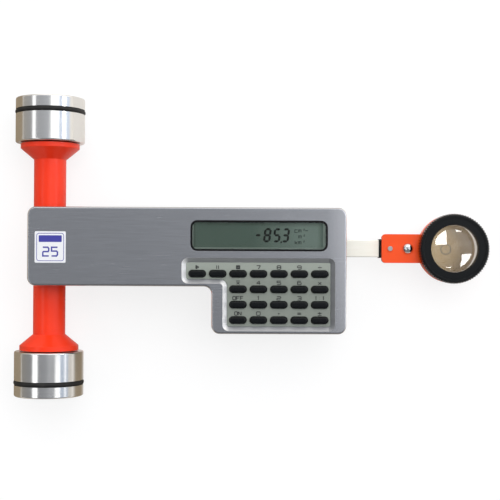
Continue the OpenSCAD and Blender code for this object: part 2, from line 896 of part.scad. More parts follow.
module lens_holder() {
    color("orangered") at_pivot() difference() {
        union() {
            layer(oblong(holder_x, lens_x, -plate_w / 2, plate_w / 2, plate_r), arm_top, plate_top);
            translate([lens_x, 0, holder_ring_low]) cylinder(d = holder_d, h = plate_top - holder_ring_low);
        }
        translate([lens_x, 0, holder_ring_low - over])
            cylinder(d = barrel_d + 2 * seated, h = plate_top - holder_ring_low + 2 * over);
        translate([dome_x, 0, arm_top - over]) cylinder(d = 3 + 2 * seated, h = plate_t + 2 * over);
        translate([small_screw_x, 0, arm_top - over]) cylinder(d = 1.6 + 2 * seated, h = plate_t + 2 * over);
    }
}

module dome_screw() {
    rise = 2.2;
    ball_r = (pow(dome_d / 2, 2) + pow(rise, 2)) / (2 * rise);
    color("silver") at_pivot() translate([dome_x, 0, 0]) {
        translate([0, 0, arm_low + 1]) cylinder(d = 3, h = plate_top - arm_low - 1);
        translate([0, 0, plate_top]) intersection() {
            translate([0, 0, rise - ball_r]) sphere(ball_r);
            cylinder(d = 2 * dome_d, h = dome_d);
        }
    }
}

module small_screw() {
    head_h = 0.7;
    color("silver") at_pivot() translate([small_screw_x, 0, 0]) {
        translate([0, 0, arm_low + 1]) cylinder(d = 1.6, h = plate_top - arm_low - 1);
        translate([0, 0, plate_top]) difference() {
            cylinder(d = small_screw_d, h = head_h);
            translate([-small_screw_d, -0.2, head_h - 0.35]) cube([2 * small_screw_d, 0.4, 1]);
        }
    }
}

module lens_mount() {
    lens_d = lens_open_d + 2 * lens_seat_wall;
    color("black") at_pivot() translate([lens_x, 0, 0]) difference() {
        union() {
            translate([0, 0, plate_top]) cylinder(d = mount_d, h = mount_top - plate_top);
            translate([0, 0, mount_top - mount_lip_t]) cylinder(d = mount_lip_d, h = mount_lip_t);
        }
        translate([0, 0, plate_top - over]) cylinder(d = lens_open_d, h = 4 * grip_h);
        translate([0, 0, plate_top - over]) cylinder(d = lens_d, h = lens_edge_t + 0.2 + over);
    }
}

module magnifier_lens() {
    lens_d = lens_open_d + 2 * lens_seat_wall - 2 * seated;
    ball_r = (pow(lens_open_d / 2 - holder_wall_gap, 2) + pow(lens_rise, 2)) / (2 * lens_rise);
    color("white", 0.5) at_pivot() translate([lens_x, 0, plate_top + 0.1]) {
        cylinder(d = lens_d, h = lens_edge_t);
        translate([0, 0, lens_edge_t]) intersection() {
            translate([0, 0, lens_rise - ball_r]) sphere(ball_r);
            cylinder(d = 2 * lens_d, h = 2 * lens_rise);
        }
    }
}

// The tube that carries the lens above the foot, with a flange under the holder
module lens_barrel() {
    color("silver") at_pivot() translate([lens_x, 0, 0]) rotate_extrude() polygon([
        [lens_open_d / 2, foot_t],
        [barrel_d / 2, foot_t],
        [barrel_d / 2, holder_ring_low - barrel_flange],
        [barrel_d / 2 + barrel_flange, holder_ring_low - barrel_flange],
        [barrel_d / 2 + barrel_flange, holder_ring_low],
        [barrel_d / 2, holder_ring_low],
        [barrel_d / 2, plate_top],
        [lens_open_d / 2, plate_top]
    ]);
}

module tracer_foot() {
    edge = 0.5;
    spigot_r = lens_open_d / 2 - seated;
    color("white", 0.5) at_pivot() translate([lens_x, 0, 0]) rotate_extrude() polygon([
        [0, 0],
        [barrel_d / 2 - edge, 0],
        [barrel_d / 2, edge],
        [barrel_d / 2, foot_t],
        [spigot_r, foot_t],
        [spigot_r, foot_t + 1.5],
        [0, foot_t + 1.5]
    ]);
}

// The knurled ring: straight teeth round a body that turns on the lens mount
module grip_ring() {
    root_d = grip_d - 2 * tooth_depth;
    band = 0.9;
    color("black") at_pivot() translate([lens_x, 0, 0]) difference() {
        union() {
            translate([0, 0, grip_low]) rotate_extrude() polygon([
                [0, 0],
                [root_d / 2 - 0.3, 0],
                [root_d / 2, 0.3],
                [root_d / 2, grip_h - 0.5],
                [root_d / 2 - 0.5, grip_h],
                [0, grip_h]
            ]);
            translate([0, 0, grip_low + band]) linear_extrude(grip_h - 2 * band) polygon([
                for (i = [0 : 2 * grip_teeth - 1])
                    let (r = (i % 2 == 0 ? grip_d : root_d - 0.1) / 2, a = 180 * i / grip_teeth)
                        [r * cos(a), r * sin(a)]
            ]);
        }
        translate([0, 0, grip_low - over]) cylinder(d = mount_d + 2 * running, h = grip_h + 2 * over);
        translate([0, 0, mount_top - mount_lip_t - end_gap])
            cylinder(d = mount_lip_d + 2 * running, h = grip_h);
    }
}

carriage_tube();
axle_bushes();
pivot_post();
pivot_nut();
roller_axle();
roller_rear();
roller_front();
tyre_rear();
tyre_front();
roller_screws();
top_cover();
lower_case();
keypad_panel();
key_mat();
circuit_board();
lcd_module();
lcd_bezel();
lcd_window();
battery_pack();
charger_jack();
case_screws();
pivot_bush();
wheel_bracket();
wheel_bearings();
light_sensor();
measuring_wheel();
wheel_shaft();
encoder_disc();
tracer_arm();
arm_collar();
lens_holder();
dome_screw();
small_screw();
lens_mount();
magnifier_lens();
lens_barrel();
tracer_foot();
grip_ring();
for (k = KEYS)
    key(k);
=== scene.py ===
"""Digital roller planimeter, finished for the studio: two turned rollers on an orange carriage, a
swinging brushed housing with a display and a keypad, and a tracer arm with a magnifier."""
import math

import bmesh
import bpy
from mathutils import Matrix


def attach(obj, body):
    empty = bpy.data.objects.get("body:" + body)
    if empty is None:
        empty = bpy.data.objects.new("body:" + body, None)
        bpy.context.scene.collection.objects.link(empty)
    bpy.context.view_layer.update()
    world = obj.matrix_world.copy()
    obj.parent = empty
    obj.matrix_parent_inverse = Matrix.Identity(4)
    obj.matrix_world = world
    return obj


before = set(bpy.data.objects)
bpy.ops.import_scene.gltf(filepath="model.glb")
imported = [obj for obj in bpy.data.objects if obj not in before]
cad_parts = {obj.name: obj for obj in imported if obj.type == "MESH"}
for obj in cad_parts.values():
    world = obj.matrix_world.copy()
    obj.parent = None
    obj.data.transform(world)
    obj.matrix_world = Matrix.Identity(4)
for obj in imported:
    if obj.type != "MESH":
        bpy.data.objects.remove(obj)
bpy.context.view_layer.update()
scene = bpy.context.scene
scene.view_settings.view_transform = "Standard"

# Camera: a copy-stand shot from straight above, 0.58 m over the paper, a little to the front
# and the left of the instrument's middle. The lens is a short telephoto.
eye = bpy.data.cameras.new("copy_stand")
eye.lens = 77.3
eye.sensor_width = 36
camera = bpy.data.objects.new("copy_stand", eye)
camera.location = (-0.00615, -0.00789, 0.58179)
camera.rotation_euler = (math.radians(0.685), math.radians(-0.528), math.radians(0.266))
scene.collection.objects.link(camera)
scene.camera = camera


# Paper and studio: white paper on a table in a pale room. The ceiling has long light panels,
# which the rollers and the cover mirror, and smaller ones that only polished glass shows. Metal
# mirrors the paper as beige left of the rollers and at the front, right of them. This is painted
# shade, which stands in for the instrument's shade on the paper there.
class Wire:
    """One value between shader nodes. Sums written with it become Math nodes."""

    def __init__(self, paint, socket):
        self.paint = paint
        self.socket = socket

    def math(self, operation, *values):
        return self.paint.node("ShaderNodeMath", {"operation": operation}, dict(enumerate(values)))

    def other(self, name):
        """Another output of the node that this wire comes from."""
        return Wire(self.paint, self.socket.node.outputs[name])

    def limited(self):
        return self.paint.node("ShaderNodeClamp", {}, {0: self})

    def __add__(self, value):
        return self.math("ADD", self, value)

    __radd__ = __add__

    def __sub__(self, value):
        return self.math("SUBTRACT", self, value)

    def __rsub__(self, value):
        return self.math("SUBTRACT", value, self)

    def __mul__(self, value):
        return self.math("MULTIPLY", self, value)

    __rmul__ = __mul__

    def __truediv__(self, value):
        return self.math("DIVIDE", self, value)

    def __pow__(self, value):
        return self.math("POWER", self, value)

    def __gt__(self, value):
        return self.math("GREATER_THAN", self, value)

    def __lt__(self, value):
        return self.math("LESS_THAN", self, value)


class Paint:
    """The shader nodes of one finish."""

    def __init__(self, owner):
        owner.use_nodes = True
        self.owner = owner
        self.tree = owner.node_tree
        self.tree.nodes.clear()

    def node(self, kind, settings=None, values=None, out=0):
        """Any node: its settings first, then the values or wires of its sockets."""
        made = self.tree.nodes.new(kind)
        for name, value in (settings or {}).items():
            if name == "stops":
                ramp = made.color_ramp.elements
                while len(ramp) < len(value):
                    ramp.new(1)
                for stop, (spot, colour) in zip(ramp, value):
                    stop.position = spot
                    stop.color = colour
            else:
                setattr(made, name, value)
        for key, value in (values or {}).items():
            if isinstance(value, Wire):
                self.tree.links.new(value.socket, made.inputs[key])
            else:
                made.inputs[key].default_value = value
        return Wire(self, made.outputs[out]) if len(made.outputs) else None

    def mix(self, share, first, second):
        """Two colours mixed by a share from 0 to 1."""
        return self.node("ShaderNodeMix", {"data_type": "RGBA"}, {0: share, 6: first, 7: second}, 2)


def axes(paint, place):
    """The x, the y and the z of a place."""
    x = paint.node("ShaderNodeSeparateXYZ", {}, {0: place})
    return x, x.other("Y"), x.other("Z")


SHADE_LEFT = -0.7
ROLLERS_LEFT = -0.116
ROLLERS_RIGHT = -0.09
SHADE_RIGHT = 0.1
SHADE_HALF_LENGTH = 0.2
paper = Paint(bpy.data.materials.new("white_paper"))
path = paper.node("ShaderNodeLightPath", out="Is Camera Ray")
seen = (path + path.other("Is Transmission Ray")).limited()
x, y, z = axes(paper, paper.node("ShaderNodeTexCoord", out="Object"))
# Painted shade: left of the rollers, and at the front right of them, the paper is painted beige for
# glossy rays.
beside = (-60 * (x - ROLLERS_LEFT)).limited() * (4 * (x - SHADE_LEFT)).limited()
before = (-30 * y).limited() * (60 * (x - ROLLERS_RIGHT)).limited() * (8 * (SHADE_RIGHT - x)).limited()
share = (beside + before).limited() * (12 * (SHADE_HALF_LENGTH - y.math("ABSOLUTE", y))).limited()
painted_shade_tone = paper.mix(share, (0.88, 0.84, 0.78, 1), (0.36, 0.29, 0.20, 1))
tone = paper.mix(path.other("Is Glossy Ray"), (0.9, 0.9, 0.9, 1), painted_shade_tone)
sheet = paper.node("ShaderNodeBsdfDiffuse", {}, {"Color": tone})
glow = paper.node("ShaderNodeEmission", {}, {"Color": (1, 1, 1, 1), "Strength": 1.05})
paper.node("ShaderNodeOutputMaterial", {},
           {"Surface": paper.node("ShaderNodeMixShader", {}, {0: seen * 0.76, 1: sheet, 2: glow})})
table = bpy.data.meshes.new("paper")
half = 4
table.from_pydata([(-half, -half, 0), (half, -half, 0), (half, half, 0), (-half, half, 0)], [],
                  [(0, 1, 2, 3)])
table.materials.append(paper.owner)
floor = bpy.data.objects.new("paper", table)
PAPER_TOP = -0.0002
floor.location.z = PAPER_TOP
scene.collection.objects.link(floor)

studio = Paint(bpy.data.worlds.new("studio"))
scene.world = studio.owner
x, y, z = axes(studio, studio.node("ShaderNodeTexCoord", out="Generated"))
along = x / z.math("MAXIMUM", z, 0.02)
across = y / z.math("MAXIMUM", z, 0.02)


def panel(left, right, front, back):
    """A ceiling panel, as slopes from the vertical: 1 inside it and 0 outside."""
    return (along > left) * (along < right) * (across > front) * (across < back) * (z > 0.1)


def panels(*rows):
    """Several panels. Each row is a share of the light, then the left, right, front and back."""
    return sum(share * panel(*limits) for share, *limits in rows)


STRIP_LIGHT = 1.8
SPOT_LIGHT = 10
LAMP_LIGHT = 6
path = studio.node("ShaderNodeLightPath", out="Is Camera Ray")
sharp = path.other("Is Singular Ray")
strips = panels(
    (1, 0.19, 0.82, 0.10, 0.26),
    (1, 0.58, 1.1, -0.36, -0.10),
    (1, 1.25, 1.9, 0.0, 0.5),
    (0.7, 1.9, 2.6, -0.5, 0.0),
    (1, -1.25, -0.86, 0.0, 0.5),
    (1, -1.0, -0.53, -0.5, 0.0),
    (0.6, 0.09, 0.4, -0.03, 0.1),
    (1, -1.0, 1.0, 0.75, 1.6)) * (1 - sharp)
spots = panels(
    (1, -0.40, -0.03, 0.14, 0.66),
    (1, 0.47, 0.95, -0.66, -0.16),
    (1, 0.30, 0.60, 0.62, 1.0),
    (1, -0.19, 0.14, -0.95, -0.6),
    (0.25, 0.96, 2.0, -0.4, 0.9),
    (2, 1.2, 3.2, 0.95, 1.9)) * sharp
wall = studio.node("ShaderNodeValToRGB", {"stops": [
    (0.0, (0.64, 0.60, 0.54, 1)),
    (0.3, (0.58, 0.565, 0.54, 1)),
    (0.7, (0.47, 0.475, 0.49, 1)),
    (1.0, (0.42, 0.43, 0.45, 1)),
]}, {0: z})
wall = studio.mix(0.8 * panel(0.8, 4, -1, 1), wall, (0.44, 0.52, 0.66, 1))
side = (1 + 1.6 * y) * (1 + 0.45 * x)
side = side.math("MAXIMUM", side, 0.5) * (1 - 0.5 * sharp)
seen = (path + path.other("Is Transmission Ray")).limited()
lamp = LAMP_LIGHT * panel(1.30, 1.56, 0.14, 0.40) * (1 - sharp)
light = side + strips * (STRIP_LIGHT - side) + spots * SPOT_LIGHT + lamp
studio.node("ShaderNodeOutputWorld", {}, {0: studio.node("ShaderNodeBackground", {}, {
    "Color": studio.mix((seen + strips + spots * 9).limited(), wall, (1, 1, 1, 1)),
    "Strength": light + seen * (1 - light)})})
disk = bpy.data.lights.new("diffuser", "AREA")
disk.shape = "DISK"
disk.size = 1.2
disk.energy = 8
diffuser = bpy.data.objects.new("diffuser", disk)
diffuser.location = (0.25, 0.35, 1.3)
diffuser.rotation_euler = (math.radians(-15), math.radians(11), 0)
diffuser.visible_glossy = False
diffuser.visible_transmission = False
diffuser.visible_camera = False
scene.collection.objects.link(diffuser)

# Carriage: one aluminium casting, a tube with a cone and a flange at each end and a saddle for
# the pivot. It is stove-enamelled orange, so it has a faint orange peel and paler worn edges.
# The lens holder has the same enamel, a little yellower.
MM = 0.001
HOLDER_LEFT = 60
enamel = Paint(bpy.data.materials.new("orange_enamel"))


def spot_mm(paint):
    """The place on the piece, in millimetres."""
    place = paint.node("ShaderNodeTexCoord", out="Object")
    return paint.node("ShaderNodeVectorMath", {"operation": "SCALE"}, {0: place, "Scale": 1000})


def grain(paint, place, size, stretch=(1, 1, 1), detail=2):
    """Cloudy noise whose spots are about size millimetres, longer along an axis by its stretch."""
    rate = tuple(1 / (size * s) for s in stretch)
    return paint.node("ShaderNodeTexNoise", {}, {
        "Vector": paint.node("ShaderNodeVectorMath", {"operation": "MULTIPLY"}, {0: place, 1: rate}),
        "Scale": 1, "Detail": detail})


def relief(paint, height, depth, edge=0.0):
    """A normal from a height in millimetres, over edges rounded by a radius in millimetres."""
    values = {"Height": height, "Distance": depth * MM, "Strength": 1}
    if edge:
        values["Normal"] = paint.node("ShaderNodeBevel", {"samples": 4}, {"Radius": edge * MM})
    return paint.node("ShaderNodeBump", {}, values)


def edges(paint, radius, gain):
    """1 along sharp edges and 0 on the faces. It marks worn edges, painted highlights on edges and
    painted shade on edges.
    """
    soft = paint.node("ShaderNodeBevel", {"samples": 4}, {"Radius": radius * MM})
    hard = paint.node("ShaderNodeNewGeometry", out="Normal")
    same = paint.node("ShaderNodeVectorMath", {"operation": "DOT_PRODUCT"}, {0: soft, 1: hard}, "Value")
    return ((1 - same) * gain).limited()


def cover_with(paint, values):
    """Closes a finish: its surface shader and its output."""
    surface = paint.node("ShaderNodeBsdfPrincipled", {}, values)
    paint.node("ShaderNodeOutputMaterial", {}, {"Surface": surface})


def dress(paint, *nodes):
    """Gives a finish to CAD nodes."""
    for node in nodes:
        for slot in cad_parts[node].material_slots:
            slot.material = paint.owner


place = spot_mm(enamel)
cloud = grain(enamel, place, 9)
colour = enamel.mix(cloud, (0.86, 0.030, 0.005, 1), (0.94, 0.046, 0.010, 1))
x, y, z = axes(enamel, place)
colour = enamel.mix((x > HOLDER_LEFT) * 0.6, colour, (0.86, 0.10, 0.008, 1))
colour = enamel.mix(edges(enamel, 0.35, 1.6) * 0.35, colour, (0.93, 0.16, 0.06, 1))
cover_with(enamel, {
    "Base Color": colour,
    "Roughness": 0.3 + 0.08 * grain(enamel, place, 2.5),
    "IOR": 1.36,
    "Coat Weight": 0.1,
    "Coat Roughness": 0.06,
    "Normal": relief(enamel, grain(enamel, place, 1.1), 0.012, 0.25),
})
dress(enamel, "carriage_tube", "lens_holder")

# Rollers: turned from aluminium bar, with the fine rings of the lathe round them and across
# their ends. Each is pressed on the axle and held by a slotted screw.
AXLE_X = -105.975
AXLE_Z = 18.2


def reach(a, b):
    """How far a place lies from an axis, by its two offsets."""
    return (a ** 2 + b ** 2) ** 0.5


def lathe_rings(paint, first, second, pitch, detail):
    """Fine rings that a lathe leaves, from two measures of the place."""
    ring = paint.node("ShaderNodeCombineXYZ", {}, {0: first / pitch, 1: second / pitch})
    return paint.node("ShaderNodeTexNoise", {}, {"Vector": ring, "Scale": 1, "Detail": detail})


turned = Paint(bpy.data.materials.new("turned_metal"))
place = spot_mm(turned)
x, y, z = axes(turned, place)
rings = lathe_rings(turned, y, reach(x - AXLE_X, z - AXLE_Z), 0.35, 3)
smudge = grain(turned, place, 7, detail=3)
cover_with(turned, {
    "Base Color": turned.mix(rings, (0.70, 0.70, 0.70, 1), (0.82, 0.82, 0.81, 1)),
    "Metallic": 1,
    "Roughness": 0.08 + 0.1 * rings + 0.08 * smudge,
    "Normal": relief(turned, rings, 0.003, 0.15),
})
dress(turned, "roller_rear", "roller_front")

# Tyres: a black rubber cord in a groove of each roller, a little dusty from the paper.
rubber = Paint(bpy.data.materials.new("tyre_rubber"))
place = spot_mm(rubber)
dust = grain(rubber, place, 3, detail=4)
cover_with(rubber, {
    "Base Color": rubber.mix((dust - 0.45).limited(), (0.006, 0.006, 0.006, 1), (0.06, 0.058, 0.055, 1)),
    "Roughness": 0.55 + 0.2 * dust,
    "Normal": relief(rubber, grain(rubber, place, 0.35), 0.02),
})
dress(rubber, "tyre_rear", "tyre_front")

# Plain steel: the ground axle and shaft, the bracket, the screws and the pivot, drawn and
# machined steel with a light oil film.
steel = Paint(bpy.data.materials.new("plain_steel"))
place = spot_mm(steel)
haze = grain(steel, place, 1.6, detail=4)
cover_with(steel, {
    "Base Color": steel.mix(haze, (0.52, 0.52, 0.53, 1), (0.66, 0.66, 0.66, 1)),
    "Metallic": 1,
    "Roughness": 0.22 + 0.16 * haze,
    "Normal": relief(steel, grain(steel, place, 0.25), 0.004, 0.12),
})
dress(steel, "roller_axle", "roller_screws", "pivot_post", "pivot_nut", "case_screws",
      "wheel_bracket", "wheel_shaft", "small_screw")

# Bushes: sintered bronze, with the open grain of pressed powder.
bronze = Paint(bpy.data.materials.new("sintered_bronze"))
place = spot_mm(bronze)
pores = grain(bronze, place, 0.3, detail=3)
cover_with(bronze, {
    "Base Color": bronze.mix(pores, (0.42, 0.27, 0.10, 1), (0.62, 0.44, 0.20, 1)),
    "Metallic": 1,
    "Roughness": 0.35 + 0.2 * pores,
    "Normal": relief(bronze, pores, 0.01, 0.1),
})
dress(bronze, "axle_bushes", "pivot_bush", "wheel_bearings")

# Cover: pressed aluminium sheet, brushed along its length and clear anodised. Its rim is
# rolled, and its keypad recess is pressed in. Where the sheet slopes it is satin, and it carries
# painted light: the rim is painted bright where it faces left or right, and the recess walls are
# painted white where they face right and dark where they face left. The right end is painted
# paler, a painted reflection.
RIGHT_END = 38
RECESS_LEFT = -37.5
RECESS_RIGHT = 44
RECESS_FRONT = -42.7
RECESS_BACK = -4
STEP_X = -17.5
STEP_Y = -19.3
brushed = Paint(bpy.data.materials.new("brushed_aluminium"))
place = spot_mm(brushed)
hair = grain(brushed, place, 0.22, (60, 1, 1), 4)
cloud = grain(brushed, place, 22)
tone = brushed.mix(hair, (0.355, 0.365, 0.39, 1), (0.505, 0.52, 0.55, 1))
tone = brushed.mix(0.12 * cloud, tone, (0.54, 0.55, 0.58, 1))
slant, _, level = axes(brushed, brushed.node("ShaderNodeNewGeometry", out="Normal"))
sloped = ((0.97 - level) * 6).limited()
x, y, z = axes(brushed, place)
# Painted reflection: the cover is painted paler towards its right end.
tone = brushed.mix(((x - RIGHT_END) / 8).limited() * 0.6, tone, (0.68, 0.69, 0.73, 1))
wide = (x > STEP_X) + (x > RECESS_LEFT) * (y > STEP_Y)
deep = (x < RECESS_RIGHT) * (y < RECESS_BACK) * (y > RECESS_FRONT)
pressed = deep * wide.limited() * sloped
# Painted light and shade: recess walls that face right are painted white, and those that face left dark.
wall = brushed.mix((0.18 + slant * 1.5).limited(), (0.30, 0.31, 0.33, 1), (0.99, 0.99, 1, 1))
# Painted highlight: the rim is painted bright where it faces left or right.
rim = brushed.mix((slant ** 2 * 1.5).limited(), (0.42, 0.42, 0.43, 1), (0.95, 0.95, 0.96, 1))
tone = brushed.mix(sloped, tone, rim)
tone = brushed.mix(pressed, tone, wall)
cover_with(brushed, {
    "Base Color": tone,
    "Metallic": 1 - 0.4 * pressed,
    "Roughness": (0.18 + 0.1 * hair + 0.04 * cloud) * (1 - 0.15 * sloped) + 0.28 * pressed,
    "Normal": relief(brushed, hair, 0.0004, 0.15),
})
dress(brushed, "top_cover")

# Lower case: moulded in dark grey plastic with a fine spark texture, and screwed up into the
# cover from below.
moulded = Paint(bpy.data.materials.new("moulded_case"))
place = spot_mm(moulded)
spark = grain(moulded, place, 0.3, detail=3)
cloud = grain(moulded, place, 12)
cover_with(moulded, {
    "Base Color": moulded.mix(cloud, (0.035, 0.034, 0.034, 1), (0.052, 0.050, 0.049, 1)),
    "Roughness": 0.5 + 0.16 * spark,
    "Normal": relief(moulded, spark, 0.03, 0.3),
})
dress(moulded, "lower_case")

# Keypad panel: thin aluminium sheet, printed grey-green and laid in the recess round the keys.
# It is painted paler at the back and darker towards its front edge, as painted light and shade.
printed = Paint(bpy.data.materials.new("printed_panel"))
place = spot_mm(printed)
speck = grain(printed, place, 0.35, detail=3)
tone = printed.mix(speck, (0.27, 0.295, 0.255, 1), (0.34, 0.37, 0.325, 1))
tone = printed.mix(grain(printed, place, 14) * 0.2, tone, (0.25, 0.28, 0.27, 1))
x, y, z = axes(printed, place)
# Painted light and shade: paler at the back, darker towards the front edge.
low = ((-10 - y) / 8).limited()
cover_with(printed, {
    "Base Color": printed.mix(low, printed.mix(0.3, tone, (0.36, 0.40, 0.35, 1)),
                              printed.mix(0.5, tone, (0.17, 0.19, 0.165, 1))),
    "Metallic": 0.15,
    "Roughness": 0.42 + 0.12 * speck,
    "Normal": relief(printed, speck, 0.006, 0.05),
})
dress(printed, "keypad_panel")

# Legends: screen-printed in black over the keys, plain digits, ON, OFF and general signs. The
# pen is 0.42 mm wide, and the ink stands 0.03 mm proud of the panel.
PANEL_TOP = 37.2
KEY_X = -27.895
KEY_Y = -13.47
KEY_PITCH_X = 10.37
KEY_PITCH_Y = 7.81
LEGEND_UP = 3.32
LEGEND_W = 1.9
LEGEND_SLIM_W = 1.45
LEGEND_H = 1.75
LEGEND_PEN = 0.42
ROUND = 0.16
LETTERS = {
    "0": [[(ROUND, 0), (1 - ROUND, 0), (1, ROUND), (1, 1 - ROUND), (1 - ROUND, 1), (ROUND, 1),
           (0, 1 - ROUND), (0, ROUND), (ROUND, 0)]],
    "1": [[(0.5, 0), (0.5, 1), (0.3, 0.85)]],
    "2": [[(0, 1), (1 - ROUND, 1), (1, 1 - ROUND), (1, 0.62), (0.9, 0.5), (0.1, 0.5), (0, 0.38),
           (0, 0), (1, 0)]],
    "3": [[(0, 1), (1 - ROUND, 1), (1, 1 - ROUND), (1, 0.6), (0.88, 0.5), (0.3, 0.5)],
          [(0.88, 0.5), (1, 0.4), (1, ROUND), (1 - ROUND, 0), (0, 0)]],
    "4": [[(0.74, 0), (0.74, 1)], [(0.74, 1), (0, 0.32)], [(0, 0.32), (1, 0.32)]],
    "5": [[(1, 1), (0, 1), (0, 0.56), (1 - ROUND, 0.56), (1, 0.44), (1, ROUND), (1 - ROUND, 0), (0, 0)]],
    "6": [[(0.9, 1), (ROUND, 1), (0, 1 - ROUND), (0, ROUND), (ROUND, 0), (1 - ROUND, 0), (1, ROUND),
           (1, 0.44), (0.9, 0.55), (0, 0.55)]],
    "7": [[(0, 1), (1, 1)], [(1, 1), (0.45, 0)]],
    "9": [[(0.1, 0), (1 - ROUND, 0), (1, ROUND), (1, 1 - ROUND), (1 - ROUND, 1), (ROUND, 1),
           (0, 1 - ROUND), (0, 0.56), (0.1, 0.45), (1, 0.45)]],
    "N": [[(0, 0), (0, 1)], [(0, 1), (1, 0)], [(1, 0), (1, 1)]],
    "F": [[(0, 0), (0, 1), (1, 1)], [(0, 0.5), (0.8, 0.5)]],
    "x": [[(0.1, 0), (0.9, 0.75)], [(0.1, 0.75), (0.9, 0)]],
    "mean": [[(0.1, 0), (0.9, 0.7)], [(0.1, 0.7), (0.9, 0)], [(0, 1), (1, 1)]],
    "divide": [[(0, 0.5), (1, 0.5)], [(0.44, 0.95), (0.56, 0.95)], [(0.44, 0.05), (0.56, 0.05)]],
    "equals": [[(0, 0.68), (1, 0.68)], [(0, 0.32), (1, 0.32)]],
    "sign": [[(0, 0.62), (1, 0.62)], [(0.5, 0.25), (0.5, 1)], [(0, 0), (1, 0)]],
    "ratio": [[(0.46, 0.75), (0.54, 0.75)], [(0.46, 0.25), (0.54, 0.25)]],
    "point": [[(0.42, 0.42), (0.58, 0.42), (0.58, 0.54), (0.42, 0.54), (0.42, 0.42)]],
    "start": [[(0.15, 0), (0.15, 1)], [(0.15, 1), (0.95, 0.5)], [(0.95, 0.5), (0.15, 0)],
              [(0.35, 0.3), (0.35, 0.7)], [(0.5, 0.42), (0.5, 0.58)]],
    "c": [[(1, 1), (0, 1), (0, 0), (1, 0)]],
    "m": [[(0, 0), (0, 1), (1, 1), (1, 0)], [(0.5, 0), (0.5, 1)]],
    "k": [[(0.1, 0), (0.1, 1.3)], [(0.95, 1), (0.15, 0.4)], [(0.35, 0.55), (0.95, 0)]],
    "hold": [[(0.25, 0), (0.25, 1)], [(0.75, 0), (0.75, 1)]],
    "end": [[(0.05, 0.05), (0.95, 0.05), (0.95, 0.95), (0.05, 0.95), (0.05, 0.05)],
            [(0.3, 0.3), (0.7, 0.3), (0.7, 0.7), (0.3, 0.7), (0.3, 0.3)]],
}
LETTERS["8"] = LETTERS["0"] + [[(0, 0.5), (1, 0.5)]]
LETTERS["O"] = LETTERS["0"]
ROWS = [
    ["start", "hold", "end", "7", "8", "9", "divide"],
    [None, None, "mean", "4", "5", "6", "x"],
    [None, None, "OFF", "1", "2", "3", "1 ratio 1"],
    [None, None, "ON", "0", "point", "equals", "sign"],
]


class Print:
    """Ink or film lying on a face: pen lines and filled patches with a small thickness, in mm."""

    def __init__(self, name, low, thick):
        self.name = name
        self.low = low
        self.high = low + thick
        self.mesh = bmesh.new()

    def ring_of(self, spots):
        return [self.mesh.verts.new((px * MM, py * MM, pz * MM)) for px, py, pz in spots]

    def line(self, points, pen):
        """A pen line through points, with mitred corners. It closes if it ends where it starts."""
        closed = points[0] == points[-1] and len(points) > 3
        if closed:
            points = points[:-1]
        count = len(points)
        rows = []
        for i, (px, py) in enumerate(points):
            ways = []
            for a, b in ((i - 1, i), (i, i + 1)):
                if closed or (a >= 0 and b < count):
                    (ax, ay), (bx, by) = points[a % count], points[b % count]
                    size = math.hypot(bx - ax, by - ay)
                    ways.append(((by - ay) / size, (ax - bx) / size))
            nx = sum(w[0] for w in ways)
            ny = sum(w[1] for w in ways)
            turn = (nx * nx + ny * ny) / len(ways)
            nx, ny = nx / turn * pen / 2, ny / turn * pen / 2
            rows.append(self.ring_of([(px - nx, py - ny, self.low), (px + nx, py + ny, self.low),
                                      (px + nx, py + ny, self.high), (px - nx, py - ny, self.high)]))
        for i in range(count if closed else count - 1):
            here, there = rows[i], rows[(i + 1) % count]
            for k in range(4):
                self.mesh.faces.new((here[k], here[(k + 1) % 4], there[(k + 1) % 4], there[k]))
        if not closed:
            self.mesh.faces.new(rows[0][::-1])
            self.mesh.faces.new(rows[-1])

    def patch(self, points):
        """A filled patch inside points, counter-clockwise."""
        base = self.ring_of([(px, py, self.low) for px, py in points])
        top = self.ring_of([(px, py, self.high) for px, py in points])
        self.mesh.faces.new(top)
        self.mesh.faces.new(base[::-1])
        for i in range(len(points)):
            k = (i + 1) % len(points)
            self.mesh.faces.new((base[i], base[k], top[k], top[i]))

    def letters(self, text, cx, cy, width, height, pen, gap=0.45):
        """A row of letters or signs centred on a spot."""
        signs = text.split(" ") if text in LETTERS or " " in text else list(text)
        start = cx - (len(signs) * width + (len(signs) - 1) * gap) / 2
        for i, sign in enumerate(signs):
            left = start + i * (width + gap)
            for points in LETTERS[sign]:
                self.line([(left + width * a, cy - height / 2 + height * b) for a, b in points], pen)

    def done(self, paint, body):
        """The finished piece, riding on its body."""
        bmesh.ops.recalc_face_normals(self.mesh, faces=self.mesh.faces)
        data = bpy.data.meshes.new(self.name)
        self.mesh.to_mesh(data)
        self.mesh.free()
        data.materials.append(paint.owner)
        piece = bpy.data.objects.new(self.name, data)
        scene.collection.objects.link(piece)
        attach(piece, body)


ink = Paint(bpy.data.materials.new("black_ink"))
place = spot_mm(ink)
cover_with(ink, {
    "Base Color": ink.mix(grain(ink, place, 0.2), (0.006, 0.007, 0.008, 1), (0.018, 0.019, 0.020, 1)),
    "Roughness": 0.45 + 0.1 * grain(ink, place, 0.5),
})
legends = Print("keypad_legends", PANEL_TOP, thick=0.03)
for row, signs in enumerate(ROWS):
    for column, sign in enumerate(signs):
        if sign:
            wide = LEGEND_W if len(sign) == 1 or sign in LETTERS else LEGEND_SLIM_W
            legends.letters(sign, KEY_X + column * KEY_PITCH_X, KEY_Y - row * KEY_PITCH_Y + LEGEND_UP,
                            wide, LEGEND_H, LEGEND_PEN)
legends.done(ink, "housing")

